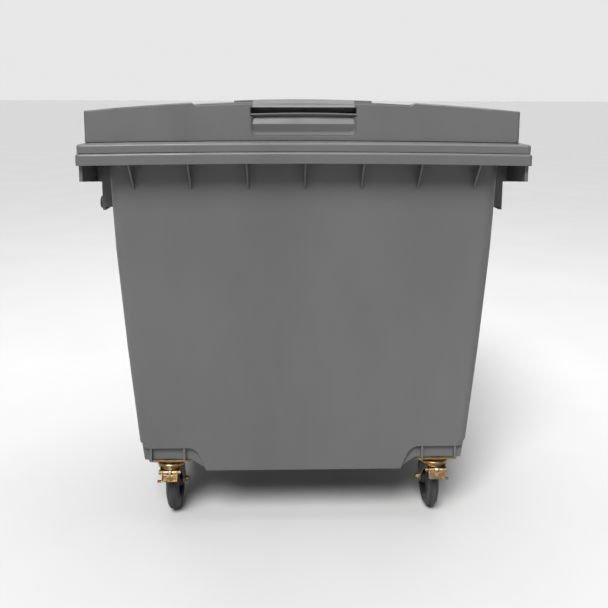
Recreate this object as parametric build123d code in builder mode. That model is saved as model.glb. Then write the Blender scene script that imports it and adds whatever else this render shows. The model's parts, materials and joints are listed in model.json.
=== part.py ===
"""Four-wheel refuse container of the 1100-litre class, with a raised flat lid and four swivel castors.

Millimetres, +Z up, front at -Y, the origin on the ground under the middle of the container.
"""

from build123d import *
import os

# ---- overall ----
FRONT_Y = -535.0
RIM_REAR_Y = 430.0
REAR_Y = 535.0
WALL = 6.0

# ---- tub: (height, half width, front face back from the rim's front, rear face, corner radius) ----
BELLY_Z = 200.0
STEP_Z = 299.0
LOW_SECTIONS = [(BELLY_Z, 530.0, 122.0, 333.0, 28.0), (STEP_Z, 542.0, 118.0, 337.0, 28.0)]
HIGH_SECTIONS = [
    (STEP_Z, 547.0, 118.0, 337.0, 28.0),
    (625.0, 575.0, 105.0, 351.0, 30.0),
    (959.0, 598.0, 89.0, 364.0, 34.0),
    (1270.0, 612.0, 74.0, 376.0, 48.0),
]
FLOOR = 8.0

# ---- rim: an arched comb bar round the mouth ----
RIM_HALF = 685.0
RIM_TOP = 1275.0
RIM_HEIGHT = 35.0
RIM_RISE = 7.5
RIM_CORNER = 14.0
RIM_EDGE_ROUND = 8.0
RIM_SKIN = 6.0
GUSSET_PITCH = 176.0
GUSSET_THICK = 5.0
GUSSET_FOOT_Z = 1150.0
GUSSET_FOOT_BACK = 82.0
GUSSET_REAR_Y = 368.0
ALL_WAY = 700.0

# ---- end skirts and side boxes under the rim ----
SKIRT_IN, SKIRT_OUT = 668.0, 678.0
SKIRT_FRONT_Y = FRONT_Y + 20
SKIRT_FRONT_Z, SKIRT_REAR_Z = 1184.0, 1164.0
BOX_FRONT_Y, BOX_REAR_Y = -335.0, -235.0
BOX_IN_X, BOX_OUT_X = 598.0, 655.0
BOX_Z = 1081.0
BOX_SKIN = 7.0
BOX_LIP = 10.0
BOX_LIP_DROP = 10.0
TRUNNION_Z = 1091.0
TRUNNION_R = 20.5
TRUNNION_STUB_R = 14.0
TRUNNION_STUB_LENGTH = 20.0

# ---- lid ----
LID_GAP = 1.0
LID_HALF = 681.0
LID_FRONT_Y = FRONT_Y + 5
LID_FLANGE_TOP = 1303.0
LID_CORNER = 12.0
LID_SKIN = 5.0
CROWN_X = -5.5
CROWN_HALF = 655.0
CROWN_FRONT_Y = FRONT_Y + 25
CROWN_REAR_Y = 398.0
CROWN_CORNER = 12.0
CROWN_EDGE_ROUND = 4.0
CROWN_TOP = 1429.0
CROWN_FALL = 33.5
CROWN_ARC_HALF = 650.0
FOOT_GROOVE_LOW, FOOT_GROOVE_HIGH = 2.0, 5.0
FOOT_GROOVE_DEPTH = 2.0
DIP = 10.7
DIP_HALF = 337.0
DIP_CHAMFER = 17.0
DIP_DEPTH = 24.0
SHELF_DIP = 6.5
SHELF_HALF = 460.0
PAD_HALF = 213.0
PAD_FRONT_Y, PAD_REAR_Y = FRONT_Y + 110, 150.0
SLOPE_FRONT_Y = 230.0
SLOPE_Z = 1312.0

# ---- grip recess in the lid's front ----
GRIP_HALF = 158.0
GRIP_LOW = 1324.0
GRIP_TOP = 1406.0
GRIP_DEPTH = 44.0
GRIP_DRAFT = 4.0
GRIP_CORNER = 18.0
GRIP_SKIN = 4.0
SCOOP_HALF = 146.0
SCOOP_LOW, SCOOP_BREAK, SCOOP_TOP = 1334.0, 1357.0, 1380.0
SCOOP_DEPTH = 11.0
BREAK_DEPTH = 4.0
SCOOP_TOP_DEPTH = 13.0
BLADE_TOP, BLADE_LOW = 1391.0, 1386.5
BLADE_RISE = 3.5
BLADE_CHAMFER = 2.0

# ---- hinge ----
HINGE_Y, HINGE_Z = 497.0, 1275.0
HINGE_X = 430.0
KNUCKLE_R = 19.0
LUG_THICK = 12.0
KNUCKLE_HALF = 15.0
LUG_GAP = 3.0
PIN_R = 8.0
PIN_BORE_R = 8.08
PIN_PLAY = 0.5
PIN_HEAD_R, PIN_HEAD_T = 13.0, 4.0
CLIP_R, CLIP_T = 12.5, 3.0

# ---- rear handles ----
HANDLE_X = 540.0
HANDLE_HALF = 50.0
HANDLE_Z = 1130.0
HANDLE_R = 14.0
PAD_FACE_Y = 384.0
HANDLE_PLATE = 8.0
HANDLE_SCREW_PITCH = 44.0
HANDLE_SCREW_R = 4.0
PAD_MARGIN = 28.0
PAD_HEIGHT = 76.0
PAD_DEPTH = 22.0

# ---- drain ----
DRAIN_Z = 248.0
DRAIN_R = 22.0
DRAIN_FACE_Y = 346.0
DRAIN_BOSS_R = 35.0
DRAIN_BOSS_DEPTH = 20.0
SEAL_T = 2.5
PLUG_HEAD_T = 5.0

# ---- chip nest under the front rim ----
NEST_X = 266.0
NEST_Y = FRONT_Y + 38
NEST_MOUTH_Z = 1244.0
NEST_BORE_R = 15.0
NEST_DEPTH = 20.0
NEST_OUT_R = 20.0

# ---- castors ----
CASTOR_X = 449.0
CASTOR_FRONT_Y, CASTOR_REAR_Y = -352.0, 270.0
SEAT_Z = 235.0
WELL_INNER_X = 326.0
WELL_REACH = 124.0
WELL_SLANT = 50.0
CORNER_REACH = 400.0
HOUSING_TOP = 290.0
HOUSING_SKIN = 10.0
POCKET_TOP = 282.0
POCKET_OUT_X = 522.0
PANEL_BACK = 14.0
PANEL_SKIN = 8.0
RECESS_Z = 281.0
RECESS_OUT_X = 560.0
# the recess's inner edge, from its top down to the belly: (across, down from the top)
RECESS_CURVE = [(393.0, 0.0), (367.0, 5.0), (356.0, 14.0), (341.0, 43.0)]
RIB_X = (398.0, 509.0)
RIB_HALF = 4.0
BOSS_R = 10.0
WHEEL_R = 100.0
WHEEL_W = 46.0
CORE_R = 72.0
TRAIL = 74.0
PLATE_X, PLATE_Y, PLATE_T = 140.0, 114.0, 5.5
PLATE_CORNER = 14.0
PLATE_HEX_R = 8.7
WASHER_R, WASHER_T = 9.0, 2.0
PLATE_NUT_T = 8.0
BOLT_TAIL = 13.0
BOLT_X, BOLT_Y = 105.0, 80.0
BOLT_R = 5.0
BOLT_CLEARANCE = 0.4
CUP_R = 54.5
CUP_LOW_R = 42.0
CUP_FLOOR_Z = 216.0
CUP_SKIN = 3.0
BOWL_R = 50.0
CROWN_LOW_Z = 204.0
BOWL_LOW_Z = 191.5
BOWL_LOW_R = 34.0
FORK_IN, FORK_OUT = 30.0, 34.0
LEG_END_R = 19.0
NUT_R = 10.4
BUSH_R = 10.0
WHEEL_CLEARANCE = 4.0
AXLE_R = 6.0
FIT = 0.06
BALL_R = 3.0
BALL_RING = 25.0
PIVOT_Y, PIVOT_Z = -52.0, 190.0
PIVOT_R = 4.0
PIVOT_BOSS_R = 6.5
PEDAL_HALF = 26.5
SPRING_ROOM_R = 9.5
SHOE_LOW_Y, SHOE_LOW_Z = -23.0, 138.0
SHOE_HIGH_Y, SHOE_HIGH_Z = -16.0, 152.0

os.makedirs("parts", exist_ok=True)


def save(part, name):
    """Labels a finished piece and writes it as one node."""
    part.label = name
    export_step(part, f"parts/{name}.step")


def y_centre(front_back, rear_y):
    """Middle of a section that starts front_back behind the rim's front and ends at rear_y."""
    return (FRONT_Y + front_back + rear_y) / 2


def y_depth(front_back, rear_y):
    return rear_y - FRONT_Y - front_back


def arched_ring(half, front_y, rear_y, corner, low, top):
    """A rounded rectangle in plan whose top and bottom follow the rim's arch."""
    edge = RIM_HALF + 20
    with BuildPart() as ring:
        with BuildSketch(Plane.XZ):
            with BuildLine():
                ThreePointArc((-edge, top - RIM_RISE), (0, top), (edge, top - RIM_RISE))
                Line((edge, top - RIM_RISE), (edge, low - RIM_RISE))
                ThreePointArc((edge, low - RIM_RISE), (0, low), (-edge, low - RIM_RISE))
                Line((-edge, low - RIM_RISE), (-edge, top - RIM_RISE))
            make_face()
        extrude(amount=ALL_WAY, both=True)
        with BuildSketch(Plane.XY):
            with Locations((0, (front_y + rear_y) / 2)):
                RectangleRounded(2 * half, rear_y - front_y, corner)
        extrude(amount=2 * CROWN_TOP, mode=Mode.INTERSECT)
    return ring.part


def tub_loft(sections, inset, low_z=None, high_z=None):
    """A ruled loft through the tub's sections, each drawn in by inset on every side."""
    with BuildPart() as tub:
        for i, (z, half, front, rear, corner) in enumerate(sections):
            level = z
            if i == 0 and low_z is not None:
                level = low_z
            if i == len(sections) - 1 and high_z is not None:
                level = high_z
            with BuildSketch(Plane.XY.offset(level)):
                depth = y_depth(front, rear) - 2 * inset
                with Locations((0, y_centre(front, rear))):
                    RectangleRounded(2 * (half - inset), depth, corner - inset)
        loft(ruled=True)
    return tub.part


def corner_block(side, end, low, high):
    """A block over one bottom corner; low and high are its inner (x, y, z) corners below and above."""
    with BuildPart() as block:
        for x_in, y_in, z in (low, high):
            with BuildSketch(Plane.XY.offset(z)):
                with Locations((side * (x_in + CORNER_REACH / 2), y_in + end * CORNER_REACH / 2)):
                    Rectangle(CORNER_REACH, CORNER_REACH)
        loft(ruled=True)
    return block.part


CASTORS = [
    ("front_left", -1, -1, CASTOR_FRONT_Y),
    ("front_right", 1, -1, CASTOR_FRONT_Y),
    ("rear_left", -1, 1, CASTOR_REAR_Y),
    ("rear_right", 1, 1, CASTOR_REAR_Y),
]


# ======================= container body =======================

def well_corners(y, end, skin):
    """Inner corners of a castor well at the belly and at the seat, drawn in by skin."""
    low_reach = WELL_REACH + skin
    low = (WELL_INNER_X - skin, y - end * low_reach, BELLY_Z)
    high = (WELL_INNER_X - skin + WELL_SLANT, y - end * (low_reach - WELL_SLANT), SEAT_Z)
    return low, high


def panel_face_y(end):
    """Outer face of the recessed panel at a corner, on the front or rear wall."""
    face_y = wall_front_y(SEAT_Z) if end < 0 else wall_rear_y(SEAT_Z)
    return face_y - end * PANEL_BACK


def tub_cavity():
    """The hollow of the tub, with the castor housings left standing in its corners."""
    low = tub_loft(LOW_SECTIONS, WALL, low_z=BELLY_Z + FLOOR)
    high = tub_loft(HIGH_SECTIONS, WALL, high_z=RIM_TOP + 20)
    with BuildPart() as cavity:
        add(low)
        add(high)
        for _, side, end, y in CASTORS:
            well_low, well_high = well_corners(y, end, HOUSING_SKIN)
            add(corner_block(side, end, well_low, well_high), mode=Mode.SUBTRACT)
            housing_low = (well_high[0], well_high[1], SEAT_Z)
            housing_high = (well_high[0], well_high[1], HOUSING_TOP)
            add(corner_block(side, end, housing_low, housing_high), mode=Mode.SUBTRACT)
            # a thicker strip behind the recess beside the housing
            panel_back_y = panel_face_y(end) - end * PANEL_SKIN
            ledge_low = (WELL_INNER_X - 4, panel_back_y, BELLY_Z)
            ledge_high = (WELL_INNER_X - 4, panel_back_y, HOUSING_TOP)
            add(corner_block(side, end, ledge_low, ledge_high), mode=Mode.SUBTRACT)
    return cavity.part


def wall_front_y(z):
    """The lower front wall's outer face at a height."""
    (z0, _, f0, _, _), (z1, _, f1, _, _) = LOW_SECTIONS
    return FRONT_Y + f0 + (f1 - f0) * (z - z0) / (z1 - z0)


def wall_rear_y(z):
    (z0, _, _, r0, _), (z1, _, _, r1, _) = LOW_SECTIONS
    return r0 + (r1 - r0) * (z - z0) / (z1 - z0)


def make_body():
    rim = arched_ring(RIM_HALF, FRONT_Y, RIM_REAR_Y, RIM_CORNER, RIM_TOP - RIM_HEIGHT, RIM_TOP)
    under = arched_ring(RIM_HALF - RIM_SKIN, FRONT_Y + RIM_SKIN, RIM_REAR_Y - RIM_SKIN,
                        RIM_CORNER - RIM_SKIN, RIM_TOP - 2 * RIM_HEIGHT, RIM_TOP - RIM_SKIN)
    low = tub_loft(LOW_SECTIONS, 0.0)
    high = tub_loft(HIGH_SECTIONS, 0.0, high_z=RIM_TOP - RIM_RISE - RIM_SKIN + 1)
    cavity = tub_cavity()
    under_top = RIM_TOP - RIM_RISE - 1

    with BuildPart() as body:
        add(rim)
        top_edges = body.edges().group_by(Axis.Z)[-1]
        fillet(top_edges.filter_by(lambda e: e.length > 1), radius=RIM_EDGE_ROUND)
        add(under, mode=Mode.SUBTRACT)
        add(low)
        add(high)

        # gussets between the rim and the front and rear walls
        for i in range(-3, 4):
            with BuildSketch(Plane.YZ.offset(i * GUSSET_PITCH - GUSSET_THICK / 2)):
                with BuildLine():
                    Polyline(
                        (FRONT_Y + 2, under_top),
                        (FRONT_Y + 2, RIM_TOP - RIM_HEIGHT - 3),
                        (FRONT_Y + GUSSET_FOOT_BACK, GUSSET_FOOT_Z),
                        (FRONT_Y + GUSSET_FOOT_BACK, under_top),
                        close=True,
                    )
                make_face()
            extrude(amount=GUSSET_THICK)
        for i in (-1, 0, 1):
            with BuildSketch(Plane.YZ.offset(i * GUSSET_PITCH - GUSSET_THICK / 2)):
                with BuildLine():
                    Polyline(
                        (RIM_REAR_Y - 2, under_top),
                        (RIM_REAR_Y - 2, RIM_TOP - RIM_HEIGHT - 3),
                        (GUSSET_REAR_Y, GUSSET_FOOT_Z),
                        (GUSSET_REAR_Y, under_top),
                        close=True,
                    )
                make_face()
            extrude(amount=GUSSET_THICK)

        for side in (-1, 1):
            # end skirt along the rim's end, deeper towards the side box
            with BuildSketch(Plane.YZ.offset(side * (SKIRT_IN + SKIRT_OUT) / 2)):
                with BuildLine():
                    Polyline(
                        (SKIRT_FRONT_Y, under_top - 2),
                        (SKIRT_FRONT_Y, SKIRT_FRONT_Z),
                        (BOX_FRONT_Y, SKIRT_REAR_Z),
                        (BOX_REAR_Y, SKIRT_REAR_Z),
                        (BOX_REAR_Y, under_top - 2),
                        close=True,
                    )
                make_face()
            extrude(amount=(SKIRT_OUT - SKIRT_IN) / 2, both=True)
            # side box: front, rear and outer plates, open below
            for y in (BOX_FRONT_Y + BOX_SKIN / 2, BOX_REAR_Y - BOX_SKIN / 2):
                with BuildSketch(Plane.XY.offset(BOX_Z)):
                    with Locations((side * (BOX_IN_X + BOX_OUT_X) / 2, y)):
                        Rectangle(BOX_OUT_X - BOX_IN_X, BOX_SKIN)
                extrude(amount=under_top - BOX_Z)
            with BuildSketch(Plane.XY.offset(BOX_Z - BOX_LIP_DROP)):
                with Locations((side * (BOX_OUT_X - BOX_LIP / 2), (BOX_FRONT_Y + BOX_REAR_Y) / 2)):
                    Rectangle(BOX_LIP, BOX_REAR_Y - BOX_FRONT_Y)
            extrude(amount=under_top - BOX_Z + BOX_LIP_DROP)
            # a web carries the skirt on the box
            with BuildSketch(Plane.XY.offset(SKIRT_REAR_Z)):
                with Locations((side * (BOX_OUT_X + SKIRT_IN) / 2, BOX_FRONT_Y + BOX_SKIN / 2)):
                    Rectangle(SKIRT_IN - BOX_OUT_X + 4, BOX_SKIN)
            extrude(amount=under_top - SKIRT_REAR_Z)
            # trunnion socket
            with BuildSketch(Plane.YZ.offset(side * (BOX_OUT_X + 5))):
                with Locations(((BOX_FRONT_Y + BOX_REAR_Y) / 2, TRUNNION_Z)):
                    Circle(TRUNNION_STUB_R + FIT)
            extrude(amount=-side * (TRUNNION_STUB_LENGTH + 5), mode=Mode.SUBTRACT)

        # flat pads for the rear handles
        for side in (-1, 1):
            with BuildSketch(Plane.XZ.offset(-PAD_FACE_Y)):
                with Locations((side * HANDLE_X, HANDLE_Z)):
                    Rectangle(2 * (HANDLE_HALF + PAD_MARGIN), PAD_HEIGHT)
            extrude(amount=PAD_DEPTH)
        for side in (-1, 1):
            with BuildSketch(Plane.XZ.offset(-PAD_FACE_Y - 5)):
                with Locations((side * HANDLE_X, HANDLE_Z)):
                    with GridLocations(2 * HANDLE_HALF, HANDLE_SCREW_PITCH, 2, 2):
                        Circle(HANDLE_SCREW_R + 0.2)
            extrude(amount=50, mode=Mode.SUBTRACT)
        # drain boss low on the rear wall
        with BuildSketch(Plane.XZ.offset(-DRAIN_FACE_Y)):
            with Locations((0, DRAIN_Z)):
                Circle(DRAIN_BOSS_R)
        extrude(amount=DRAIN_BOSS_DEPTH)
        # chip nest hanging under the front rim
        with BuildSketch(Plane.XY.offset(NEST_MOUTH_Z)):
            with Locations((NEST_X, NEST_Y)):
                Circle(NEST_OUT_R)
        extrude(amount=RIM_TOP - RIM_SKIN + 1 - NEST_MOUTH_Z)
        with BuildSketch(Plane.XY.offset(NEST_MOUTH_Z + NEST_DEPTH)):
            with Locations((NEST_X, NEST_Y)):
                Circle(NEST_BORE_R)
        extrude(amount=-(NEST_DEPTH + 5), mode=Mode.SUBTRACT)

        # rear hinge lugs, two at each hinge
        for side in (-1, 1):
            for half in (-1, 1):
                lug_x = side * HINGE_X + half * (KNUCKLE_HALF + LUG_GAP + LUG_THICK / 2)
                with BuildSketch(Plane.YZ.offset(lug_x)):
                    with BuildLine():
                        Polyline(
                            (RIM_REAR_Y - 3, RIM_TOP - 14),
                            (RIM_REAR_Y - 3, RIM_TOP - RIM_HEIGHT - 2),
                            (HINGE_Y + 4, HINGE_Z - KNUCKLE_R + 0.5),
                            (HINGE_Y - 12, HINGE_Z + KNUCKLE_R - 6),
                            close=True,
                        )
                    make_face()
                    with Locations((HINGE_Y, HINGE_Z)):
                        Circle(KNUCKLE_R)
                extrude(amount=LUG_THICK / 2, both=True)
        for side in (-1, 1):
            with BuildSketch(Plane.YZ.offset(side * HINGE_X)):
                with Locations((HINGE_Y, HINGE_Z)):
                    Circle(PIN_R + FIT)
            extrude(amount=60, both=True, mode=Mode.SUBTRACT)

        # castor wells, and the recessed panel outside each housing
        for _, side, end, y in CASTORS:
            well_low, well_high = well_corners(y, end, 0.0)
            add(corner_block(side, end, well_low, well_high), mode=Mode.SUBTRACT)
            panel_y = panel_face_y(end)
            with BuildSketch(Plane.XZ.offset(-panel_y)):
                with BuildLine():
                    Line((side * RECESS_OUT_X, BELLY_Z - 10), (side * RECESS_OUT_X, RECESS_Z))
                    Line((side * RECESS_OUT_X, RECESS_Z), (side * RECESS_CURVE[0][0], RECESS_Z))
                    curve = [(side * across, RECESS_Z - down) for across, down in RECESS_CURVE]
                    Spline(*curve, (side * WELL_INNER_X, BELLY_Z),
                           tangents=((-side, 0), (-side * 0.45, -1)))
                    Line((side * WELL_INNER_X, BELLY_Z), (side * WELL_INNER_X, BELLY_Z - 10))
                    Line((side * WELL_INNER_X, BELLY_Z - 10), (side * RECESS_OUT_X, BELLY_Z - 10))
                make_face()
            extrude(amount=-end * 60, mode=Mode.SUBTRACT)
        # the hollow of the tub
        add(cavity, mode=Mode.SUBTRACT)

        for _, side, end, y in CASTORS:
            panel_y = panel_face_y(end)
            _, well_high = well_corners(y, end, 0.0)
            # the housing is hollow above the seat, and open below
            y_from, y_to = sorted((panel_y - end * PANEL_SKIN, well_high[1]))
            with BuildSketch(Plane.XY.offset(SEAT_Z - 1)):
                with Locations((side * (well_high[0] + POCKET_OUT_X) / 2, (y_from + y_to) / 2)):
                    Rectangle(POCKET_OUT_X - well_high[0], y_to - y_from)
            extrude(amount=POCKET_TOP - SEAT_Z + 1, mode=Mode.SUBTRACT)
            # ribs outside the panel, and a boss at each bolt
            for rib_x in RIB_X:
                with BuildSketch(Plane.XY.offset(SEAT_Z)):
                    with Locations((side * rib_x, panel_y + end * (PANEL_BACK - 2) / 2)):
                        Rectangle(2 * RIB_HALF, PANEL_BACK + 2)
                extrude(amount=RECESS_Z + 2 - SEAT_Z)
            with BuildSketch(Plane.XY.offset(SEAT_Z)):
                with Locations((side * CASTOR_X, y)):
                    with GridLocations(BOLT_X, BOLT_Y, 2, 2):
                        Circle(BOSS_R)
            extrude(amount=POCKET_TOP + 2 - SEAT_Z)
            with BuildSketch(Plane.XY.offset(SEAT_Z - 5)):
                with Locations((side * CASTOR_X, y)):
                    with GridLocations(BOLT_X, BOLT_Y, 2, 2):
                        Circle(BOLT_R + BOLT_CLEARANCE)
            extrude(amount=80, mode=Mode.SUBTRACT)
        # drain hole
        with BuildSketch(Plane.XZ.offset(-DRAIN_FACE_Y - 5)):
            with Locations((0, DRAIN_Z)):
                Circle(DRAIN_R)
        extrude(amount=60, mode=Mode.SUBTRACT)
    return body.part


# ======================= lid =======================

def grip_pocket(skin):
    """The grip recess in the lid's front face, with a flared mouth; skin makes it larger all round."""
    mouth = GRIP_DRAFT + 0.5
    sections = (
        (CROWN_FRONT_Y - 2, mouth),
        (CROWN_FRONT_Y + 3, 0.0),
        (CROWN_FRONT_Y + GRIP_DEPTH + skin, -GRIP_DRAFT),
    )
    roof_z = GRIP_TOP + skin
    with BuildPart() as pocket:
        for y, flare in sections:
            low_z = GRIP_LOW - skin - flare
            high_z = GRIP_TOP + 2 * GRIP_CORNER
            with BuildSketch(Plane.XZ.offset(-y)):
                with Locations((0, (low_z + high_z) / 2)):
                    RectangleRounded(2 * (GRIP_HALF + skin + flare), high_z - low_z, GRIP_CORNER)
        loft(ruled=True)
        with BuildSketch(Plane.XY.offset(roof_z)):
            with Locations((0, CROWN_FRONT_Y)):
                Rectangle(3 * GRIP_HALF, 4 * GRIP_DEPTH)
        extrude(amount=4 * GRIP_CORNER, mode=Mode.SUBTRACT)
    return pocket.part


def dip_cut(half, depth, front_y, rear_y):
    """What is cut from the arched top to sink its middle by depth between two y positions."""
    edge_z = CROWN_TOP - CROWN_FALL * (half / CROWN_ARC_HALF) ** 2
    inner = half - DIP_CHAMFER
    inner_z = CROWN_TOP - depth - CROWN_FALL * (inner / CROWN_ARC_HALF) ** 2
    above = CROWN_TOP + 20
    with BuildPart() as cut:
        with BuildSketch(Plane.XZ.offset(-front_y)):
            with BuildLine():
                Polyline((inner, inner_z), (half, edge_z), (half, above), (-half, above),
                         (-half, edge_z), (-inner, inner_z))
                ThreePointArc((-inner, inner_z), (0, CROWN_TOP - depth), (inner, inner_z))
            make_face()
        extrude(amount=-(rear_y - front_y))
    return cut.part


def crown_block(inset, low, top):
    """The raised middle of the lid, its top an arc across and its rear sloping down to the hinge."""
    with BuildPart() as crown:
        with BuildSketch(Plane.XZ):
            with BuildLine():
                ThreePointArc((-CROWN_ARC_HALF - 20, top - CROWN_FALL - 2), (0, top),
                              (CROWN_ARC_HALF + 20, top - CROWN_FALL - 2))
                Line((CROWN_ARC_HALF + 20, top - CROWN_FALL - 2), (CROWN_ARC_HALF + 20, low))
                Line((CROWN_ARC_HALF + 20, low), (-CROWN_ARC_HALF - 20, low))
                Line((-CROWN_ARC_HALF - 20, low), (-CROWN_ARC_HALF - 20, top - CROWN_FALL - 2))
            make_face()
        extrude(amount=ALL_WAY, both=True)
        with BuildSketch(Plane.XY):
            with Locations((0, (CROWN_FRONT_Y + CROWN_REAR_Y) / 2)):
                RectangleRounded(2 * (CROWN_HALF - inset), CROWN_REAR_Y - CROWN_FRONT_Y - 2 * inset,
                                 CROWN_CORNER - inset / 2)
        extrude(amount=2 * CROWN_TOP, mode=Mode.INTERSECT)
        with BuildSketch(Plane.YZ):
            with BuildLine():
                Polyline(
                    (SLOPE_FRONT_Y, top + 1),
                    (CROWN_REAR_Y + 10, SLOPE_Z - inset),
                    (CROWN_REAR_Y + 200, SLOPE_Z - inset),
                    (CROWN_REAR_Y + 200, top + 60),
                    (SLOPE_FRONT_Y, top + 60),
                    close=True,
                )
            make_face()
        extrude(amount=ALL_WAY, both=True, mode=Mode.SUBTRACT)
    return crown.part


def crown_pad():
    """A low pad on the sunk middle of the top, as high as the top's own arch."""
    edge_z = CROWN_TOP - CROWN_FALL * (PAD_HALF / CROWN_ARC_HALF) ** 2
    low_z = edge_z - DIP - 2
    with BuildPart() as pad:
        with BuildSketch(Plane.XZ.offset(-PAD_FRONT_Y)):
            with BuildLine():
                ThreePointArc((-PAD_HALF, edge_z), (0, CROWN_TOP), (PAD_HALF, edge_z))
                Polyline((PAD_HALF, edge_z), (PAD_HALF, low_z), (-PAD_HALF, low_z), (-PAD_HALF, edge_z))
            make_face()
        extrude(amount=-(PAD_REAR_Y - PAD_FRONT_Y))
    return pad.part


def foot_groove():
    """A fine groove round the foot of the raised middle, just above the flange."""
    low, high = LID_FLANGE_TOP + FOOT_GROOVE_LOW, LID_FLANGE_TOP + FOOT_GROOVE_HIGH
    front_y, rear_y = CROWN_FRONT_Y, SLOPE_FRONT_Y
    outer = arched_ring(CROWN_HALF + 5, front_y - 5, rear_y, CROWN_CORNER + 5, low, high)
    inner = arched_ring(CROWN_HALF - FOOT_GROOVE_DEPTH, front_y + FOOT_GROOVE_DEPTH, rear_y + 5,
                        CROWN_CORNER - FOOT_GROOVE_DEPTH, low - 5, high + 5)
    return outer - inner


def make_lid():
    shift = Pos(CROWN_X, 0, 0)
    flange = arched_ring(LID_HALF, LID_FRONT_Y, RIM_REAR_Y, LID_CORNER, RIM_TOP + LID_GAP, LID_FLANGE_TOP)
    flange_hollow = arched_ring(LID_HALF - LID_SKIN, LID_FRONT_Y + LID_SKIN, RIM_REAR_Y - LID_SKIN,
                                LID_CORNER - LID_SKIN, RIM_TOP - 60, LID_FLANGE_TOP - LID_SKIN)
    crown = crown_block(0.0, LID_FLANGE_TOP - RIM_RISE - LID_SKIN + 0.5, CROWN_TOP)
    with BuildPart() as rounded:
        add(crown)
        crown_edges = rounded.edges().filter_by(lambda e: e.center().Z > SLOPE_Z - 1)
        fillet(crown_edges.filter_by(lambda e: abs(e.tangent_at(0.5).Z) < 0.9), radius=CROWN_EDGE_ROUND)
    notch_rear_y = CROWN_FRONT_Y + DIP_DEPTH
    crown = shift * rounded.part
    hollow = shift * crown_block(LID_SKIN, LID_FLANGE_TOP - 60, CROWN_TOP - DIP - LID_SKIN)
    keep_out = shift * grip_pocket(GRIP_SKIN)
    pocket = shift * grip_pocket(0.0)
    notch = shift * dip_cut(DIP_HALF, DIP, CROWN_FRONT_Y - 20, notch_rear_y)
    shelf = shift * dip_cut(SHELF_HALF, SHELF_DIP, notch_rear_y - 1, CROWN_REAR_Y)
    pad = shift * crown_pad()
    groove = shift * foot_groove()

    with BuildPart() as hollow_space:
        add(hollow)
        add(keep_out, mode=Mode.SUBTRACT)
        # solid behind the grip lip
        with BuildSketch(Plane.XY.offset(GRIP_TOP - 1)):
            with Locations((CROWN_X, CROWN_FRONT_Y + GRIP_DEPTH / 2)):
                Rectangle(2 * GRIP_HALF, GRIP_DEPTH + 2 * GRIP_SKIN)
        extrude(amount=60, mode=Mode.SUBTRACT)
    hollow_part = hollow_space.part

    with BuildPart() as lid:
        add(flange)
        top_edges = lid.edges().group_by(Axis.Z)[-1]
        fillet(top_edges.filter_by(lambda e: e.length > 1), radius=RIM_EDGE_ROUND)
        add(flange_hollow, mode=Mode.SUBTRACT)
        add(crown)
        # the middle of the top is notched at the front, sunk behind the notch, and has a pad
        add(notch, mode=Mode.SUBTRACT)
        add(shelf, mode=Mode.SUBTRACT)
        add(pad)
        add(groove, mode=Mode.SUBTRACT)
        add(hollow_part, mode=Mode.SUBTRACT)
        # grip lip over the recess, its front bevelled upward
        with BuildSketch(Plane.YZ.offset(CROWN_X)):
            with BuildLine():
                Polyline(
                    (CROWN_FRONT_Y - 6, GRIP_TOP - 1),
                    (CROWN_FRONT_Y - 8, GRIP_TOP + 1),
                    (CROWN_FRONT_Y + 12, CROWN_TOP - 2),
                    (CROWN_FRONT_Y + GRIP_DEPTH, CROWN_TOP - 1),
                    (CROWN_FRONT_Y + GRIP_DEPTH, GRIP_TOP - 1),
                    close=True,
                )
            make_face()
        extrude(amount=GRIP_HALF - 6, both=True)
        add(pocket, mode=Mode.SUBTRACT)
        # hinge arms and knuckles
        for side in (-1, 1):
            with BuildSketch(Plane.YZ.offset(side * HINGE_X)):
                with BuildLine():
                    Polyline(
                        (RIM_REAR_Y - 12, LID_FLANGE_TOP - RIM_RISE - 4),
                        (RIM_REAR_Y - 2, LID_FLANGE_TOP - RIM_RISE - 20),
                        (HINGE_Y - 8, HINGE_Z - 8),
                        (HINGE_Y + 4, HINGE_Z + KNUCKLE_R - 1),
                        (RIM_REAR_Y + 8, LID_FLANGE_TOP + 4),
                        (RIM_REAR_Y - 40, LID_FLANGE_TOP + 4),
                        (RIM_REAR_Y - 40, LID_FLANGE_TOP - RIM_RISE - 3),
                        close=True,
                    )
                make_face()
                with Locations((HINGE_Y, HINGE_Z)):
                    Circle(KNUCKLE_R)
            extrude(amount=KNUCKLE_HALF, both=True)
            with BuildSketch(Plane.YZ.offset(side * HINGE_X)):
                with Locations((HINGE_Y, HINGE_Z)):
                    Circle(PIN_BORE_R)
            extrude(amount=KNUCKLE_HALF + 5, both=True, mode=Mode.SUBTRACT)
    return lid.part


def grip_scoop():
    """The room in front of the scoop's bent face, with flared cheeks and sill."""
    front_y = CROWN_FRONT_Y
    mouth = (front_y, GRIP_HALF - 1, GRIP_LOW + 1)
    bottom = (front_y + SCOOP_TOP_DEPTH + 2, SCOOP_HALF, SCOOP_LOW)
    with BuildPart() as scoop:
        for y, half, low_z in (mouth, bottom):
            with BuildSketch(Plane.XZ.offset(-y)):
                with Locations((0, (low_z + SCOOP_TOP) / 2 + GRIP_CORNER / 2)):
                    RectangleRounded(2 * half, SCOOP_TOP - low_z + GRIP_CORNER, GRIP_CORNER - 4)
        loft(ruled=True)
        # the face comes forward to a ridge, and draws back above and below it
        with BuildSketch(Plane.YZ):
            with BuildLine():
                Polyline(
                    (front_y - 1, SCOOP_TOP),
                    (front_y + SCOOP_TOP_DEPTH, SCOOP_TOP),
                    (front_y + BREAK_DEPTH, SCOOP_BREAK),
                    (front_y + SCOOP_DEPTH, SCOOP_LOW + 1),
                    (front_y + SCOOP_DEPTH, GRIP_LOW - 5),
                    (front_y - 1, GRIP_LOW - 5),
                    close=True,
                )
            make_face()
        extrude(amount=2 * GRIP_HALF, both=True, mode=Mode.INTERSECT)
    return scoop.part


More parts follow.
